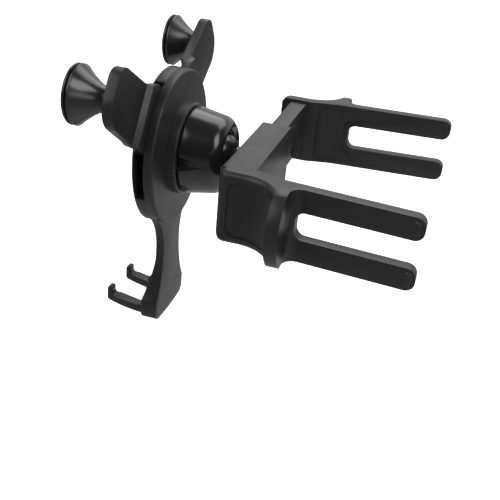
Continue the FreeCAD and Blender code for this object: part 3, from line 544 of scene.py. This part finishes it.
def coil_tree():
    """Close-wound tension spring: a helix swept by its wire, turned to lie along X."""
    tree, asked, take = new_tree("Arm spring", [
        ("Centre", "NodeSocketVector", None), ("Length", "NodeSocketFloat", 0.01),
        ("Coil radius", "NodeSocketFloat", 0.0013), ("Wire radius", "NodeSocketFloat", 0.00018),
        ("Turns", "NodeSocketFloat", 22.0), ("Material", "NodeSocketMaterial", None)])
    steps_per_turn = 20
    wire_sides = 8
    link = tree.links.new
    helix = tree.nodes.new("GeometryNodeCurveSpiral")
    helix.inputs["Resolution"].default_value = steps_per_turn
    link(asked["Turns"], helix.inputs["Rotations"])
    link(asked["Coil radius"], helix.inputs["Start Radius"])
    link(asked["Coil radius"], helix.inputs["End Radius"])
    link(asked["Length"], helix.inputs["Height"])
    wire = tree.nodes.new("GeometryNodeCurvePrimitiveCircle")
    wire.inputs["Resolution"].default_value = wire_sides
    link(asked["Wire radius"], wire.inputs["Radius"])
    sweep = tree.nodes.new("GeometryNodeCurveToMesh")
    sweep.inputs["Fill Caps"].default_value = True
    link(helix.outputs["Curve"], sweep.inputs["Curve"])
    link(wire.outputs["Curve"], sweep.inputs["Profile Curve"])
    shift = tree.nodes.new("ShaderNodeCombineXYZ")
    link(math_node(tree, "MULTIPLY", asked["Length"], -0.5), shift.inputs["Z"])
    centred = tree.nodes.new("GeometryNodeTransform")
    link(sweep.outputs["Mesh"], centred.inputs["Geometry"])
    link(shift.outputs["Vector"], centred.inputs["Translation"])
    lay = tree.nodes.new("GeometryNodeTransform")
    lay.inputs["Rotation"].default_value = (0.0, math.pi / 2, 0.0)
    link(centred.outputs["Geometry"], lay.inputs["Geometry"])
    link(asked["Centre"], lay.inputs["Translation"])
    finish_tree(tree, lay.outputs["Geometry"], asked["Material"], take)
    return tree


# Operators
class HOLDER_OT_clamp(bpy.types.Operator):
    """Dress the outer rail, the inner bar and both forked claws"""
    bl_idname = "holder.clamp"
    bl_label = "Clamp"

    def execute(self, context):
        edge = finish_values().edge_round
        dress("fixed_claw", "shell_plastic", "clamp", edge)
        dress("sliding_claw", "shell_plastic", "slider", edge)
        return {"FINISHED"}


class HOLDER_OT_clamp_pads(bpy.types.Operator):
    """Dress the thumb pads, the grip pads and the friction shoe"""
    bl_idname = "holder.clamp_pads"
    bl_label = "Clamp pads"

    def execute(self, context):
        for side, body in (("fixed", "clamp"), ("sliding", "slider")):
            dress("thumb_pad_" + side, "pad_rubber", body, edge=0.15 * MM)
            dress("grip_pad_" + side, "pad_rubber", body, edge=0.15 * MM)
        dress("friction_shoe", "seat_plastic", "slider", edge=0.1 * MM)
        return {"FINISHED"}


class HOLDER_OT_hardware(bpy.types.Operator):
    """Dress the small steel pieces, and wind the arm spring"""
    bl_idname = "holder.hardware"
    bl_label = "Hardware"

    def execute(self, context):
        shapes = shape_values()
        dress("stud_screw", "steel", "clamp", edge=0.08 * MM)
        dress("stop_pin", "steel", "clamp", edge=0.15 * MM)
        dress("shoe_spring", "steel", "slider", edge=0.0)
        dress("housing_screws", "steel", "cradle", edge=0.05 * MM)
        low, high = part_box("arm_spring")
        middle = (low + high) / 2
        radius = (high.z - low.z) / 2
        both_ends = 7.0 * MM
        coil = run_tree("arm_spring_coil", coil_tree(), {
            "Centre": (middle.x, middle.y, middle.z), "Length": (high.x - low.x) - both_ends,
            "Coil radius": radius - shapes.coil_wire / 2, "Wire radius": shapes.coil_wire / 2,
            "Turns": shapes.coil_turns, "Material": material("steel")})
        smooth(coil, degrees=60.0)
        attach(coil, "cradle")
        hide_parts("arm_spring")
        return {"FINISHED"}


class HOLDER_OT_ball_joint(bpy.types.Operator):
    """Dress the ball stud, its two seats and the fluted lock nut"""
    bl_idname = "holder.ball_joint"
    bl_label = "Ball joint"

    def execute(self, context):
        dress("ball_stud", "gloss_plastic", "clamp", edge=0.15 * MM)
        dress("rear_seat", "seat_plastic", "yaw_ring", edge=0.0)
        dress("front_seat", "seat_plastic", "tilt_cup", edge=0.0)
        dress("lock_nut", "gloss_plastic", "nut", edge=0.3 * MM)
        return {"FINISHED"}


class HOLDER_OT_cradle(bpy.types.Operator):
    """Dress the rear cover, the housing with its leg, the puck and its ring"""
    bl_idname = "holder.cradle"
    bl_label = "Cradle"

    def execute(self, context):
        housing_edge = finish_values().edge_round * 0.6
        dress("rear_cover", "shell_plastic", "cradle", edge=0.3 * MM)
        dress("front_housing", "shell_plastic", "cradle", housing_edge)
        dress("puck", "gloss_plastic", "cradle", edge=0.15 * MM)
        dress("pad_ring", "ring_plastic", "cradle", edge=0.0)
        dress("centre_pad", "pad_rubber", "cradle", edge=0.0)
        dress("cross_slide", "seat_plastic", "slide_bar", edge=0.15 * MM)
        return {"FINISHED"}


class HOLDER_OT_arms(bpy.types.Operator):
    """Dress both swinging arms"""
    bl_idname = "holder.arms"
    bl_label = "Arms"

    def execute(self, context):
        for side in ("right", "left"):
            dress("arm_" + side, "shell_plastic", side + "_arm",
                  edge=0.4 * MM, form=lean_riser)
        return {"FINISHED"}


class HOLDER_OT_posts(bpy.types.Operator):
    """Make the trumpet-shaped rubber posts and their caps"""
    bl_idname = "holder.posts"
    bl_label = "Posts"

    def execute(self, context):
        shapes = shape_values()
        rim_width = 0.9 * MM
        groove_width = 0.6 * MM
        groove_depth = 0.9 * MM
        for side in ("right", "left"):
            body = side + "_arm"
            low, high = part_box("horn_" + side)
            middle = (low + high) / 2
            length = high.y - low.y
            post = run_tree("horn_post_" + side, horn_tree(), {
                "Foot": (middle.x, high.y, middle.z), "Length": length,
                "Neck radius": shapes.horn_neck, "Rim radius": (high.x - low.x) / 2,
                "Foot radius": shapes.horn_foot, "Rim share": rim_width / length,
                "Groove share": groove_width / length, "Groove depth": groove_depth,
                "Flare": shapes.horn_flare, "Rings": shapes.horn_rings,
                "Sides": shapes.lathe_steps, "Material": material("post_rubber")})
            smooth(post, degrees=50.0)
            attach(post, body)
            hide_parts("horn_" + side)
            dress("horn_cap_" + side, "gloss_plastic", body, edge=0.2 * MM)
        return {"FINISHED"}


class HOLDER_OT_foot(bpy.types.Operator):
    """Dress the foot: two forward hooks and the soft block between them"""
    bl_idname = "holder.foot"
    bl_label = "Foot"

    def execute(self, context):
        dress("foot_hooks", "shell_plastic", "cradle", edge=0.3 * MM, form=round_tips)
        dress("foot_pad", "pad_rubber", "cradle", edge=0.0)
        return {"FINISHED"}


# Studio
def area_light(name, place, size, power, mirrored):
    """A soft box that faces the middle of the part."""
    lamp = bpy.data.lights.new(name, "AREA")
    lamp.shape = "RECTANGLE"
    lamp.size, lamp.size_y = size
    lamp.energy = power
    obj = add_object(name, lamp)
    obj.location = place
    aim = Vector(LAMP_AIM) - Vector(place)
    obj.rotation_euler = aim.to_track_quat("-Z", "Y").to_euler()
    obj.visible_glossy = mirrored


def background_rays(tree, names):
    """One for camera rays and the named rays, zero for the rays that light the object."""
    path = tree.nodes.new("ShaderNodeLightPath").outputs
    seen = path["Is Camera Ray"]
    for name in names:
        seen = math_node(tree, "MAXIMUM", seen, path[name])
    return seen


def front_wall(tree):
    """How bright the studio's wall is by direction: dim on the side of the camera."""
    coords = tree.nodes.new("ShaderNodeTexCoord").outputs["Generated"]
    facing = vector_value(tree, "DOT_PRODUCT", coords, CAMERA_SIDE)
    return ranged(tree, facing, (1.0, DIM_WALL), source=(-0.35, 0.15), soft=True)


class HOLDER_OT_stage(bpy.types.Operator):
    """Set the camera, the lamps, the world and the pale floor"""
    bl_idname = "holder.stage"
    bl_label = "Stage"

    def execute(self, context):
        scene = context.scene
        self.camera(scene)
        for lamp in LAMPS:
            area_light(*lamp)
        self.world(scene)
        self.floor()
        scene.view_settings.view_transform = "Standard"
        return {"FINISHED"}

    def camera(self, scene):
        cam = bpy.data.cameras.new("camera")
        cam.lens = LENS_MM
        cam.sensor_width = SENSOR_MM
        cam.shift_x, cam.shift_y = LENS_SHIFT
        cam.clip_start = NEAREST
        obj = add_object("camera", cam)
        obj.location = CAMERA_PLACE
        obj.rotation_euler = Euler([math.radians(a) for a in CAMERA_TURN_DEG])
        scene.camera = obj

    def world(self, scene):
        """Even light all round, a wall for reflections and white for the camera."""
        world = bpy.data.worlds.new("studio")
        scene.world = world
        world.use_nodes = True
        tree = world.node_tree
        lit = tree.nodes["Background"]
        lit.inputs["Color"].default_value = (1.0, 1.0, 1.0, 1.0)
        lit.inputs["Strength"].default_value = ROOM_STRENGTH
        wall = grey_light(tree, "ShaderNodeBackground", WALL_GREY, front_wall(tree))
        white = grey_light(tree, "ShaderNodeBackground", 1.0, 1.0)
        glossy = tree.nodes.new("ShaderNodeLightPath").outputs["Is Glossy Ray"]
        seen = mixed_shader(tree, glossy, white, wall)
        rays = background_rays(tree, ("Is Glossy Ray", "Is Transmission Ray"))
        shown = mixed_shader(tree, rays, lit.outputs["Background"], seen)
        tree.links.new(shown, tree.nodes["World Output"].inputs["Surface"])

    def floor(self):
        """Pale floor that keeps the shadow, and is brightest behind the part in reflections."""
        low = CAD_BOX[0]
        # The foot swings 8 mm below its rest place at the limit of the ball's tilt.
        tilt_room = 9.0 * MM
        floor_size = 8.0
        camera_glow = 0.64
        mirror_grey = 0.9
        brightest_place = (-0.08, 0.08, low.z)
        bpy.ops.mesh.primitive_plane_add(
            size=floor_size, location=(0.0, 0.0, low.z - tilt_room))
        floor = bpy.context.object
        floor.name = "floor"
        mat = bpy.data.materials.new("floor_paint")
        mat.use_nodes = True
        tree = mat.node_tree
        grey = shape_values().floor_grey
        matte = tree.nodes["Principled BSDF"]
        matte.inputs["Base Color"].default_value = (grey, grey, grey, 1.0)
        matte.inputs["Roughness"].default_value = 1.0
        matte.inputs["Specular IOR Level"].default_value = 0.0
        rays = background_rays(tree, ("Is Transmission Ray",))
        glow = grey_light(tree, "ShaderNodeEmission", camera_glow, rays)
        both = tree.nodes.new("ShaderNodeAddShader")
        tree.links.new(matte.outputs["BSDF"], both.inputs[0])
        tree.links.new(glow, both.inputs[1])
        place = tree.nodes.new("ShaderNodeNewGeometry").outputs["Position"]
        away = vector_value(tree, "DISTANCE", place, brightest_place)
        fading = ranged(tree, away, (0.66, 0.22), source=(0.08, 0.32), soft=True)
        mirrored = grey_light(tree, "ShaderNodeEmission", mirror_grey, fading)
        glossy = tree.nodes.new("ShaderNodeLightPath").outputs["Is Glossy Ray"]
        shown = mixed_shader(tree, glossy, both.outputs["Shader"], mirrored)
        tree.links.new(shown, tree.nodes["Material Output"].inputs["Surface"])
        floor.data.materials.append(mat)


class HOLDER_PT_panel(bpy.types.Panel):
    """Lists the pieces and the sizes of the holder"""
    bl_idname = "HOLDER_PT_panel"
    bl_label = "Phone holder"
    bl_space_type = "VIEW_3D"
    bl_region_type = "UI"
    bl_category = "Phone holder"

    def draw(self, context):
        layout = self.layout
        for group in (context.scene.holder_finish, context.scene.holder_shapes):
            for key in group.__annotations__:
                layout.prop(group, key)
        for operator in OPERATORS:
            layout.operator(operator.bl_idname)


OPERATORS = (HOLDER_OT_clamp, HOLDER_OT_clamp_pads, HOLDER_OT_hardware, HOLDER_OT_ball_joint,
             HOLDER_OT_cradle, HOLDER_OT_arms, HOLDER_OT_posts, HOLDER_OT_foot, HOLDER_OT_stage)
CLASSES = (HolderFinish, HolderShapes, *OPERATORS, HOLDER_PT_panel)


def register():
    for cls in CLASSES:
        bpy.utils.register_class(cls)
    bpy.types.Scene.holder_finish = PointerProperty(type=HolderFinish)
    bpy.types.Scene.holder_shapes = PointerProperty(type=HolderShapes)


def unregister():
    del bpy.types.Scene.holder_shapes
    del bpy.types.Scene.holder_finish
    for cls in reversed(CLASSES):
        bpy.utils.unregister_class(cls)


def main():
    register()
    for operator in OPERATORS:
        group, name = operator.bl_idname.split(".")
        getattr(getattr(bpy.ops, group), name)()


if __name__ == "__main__":
    main()
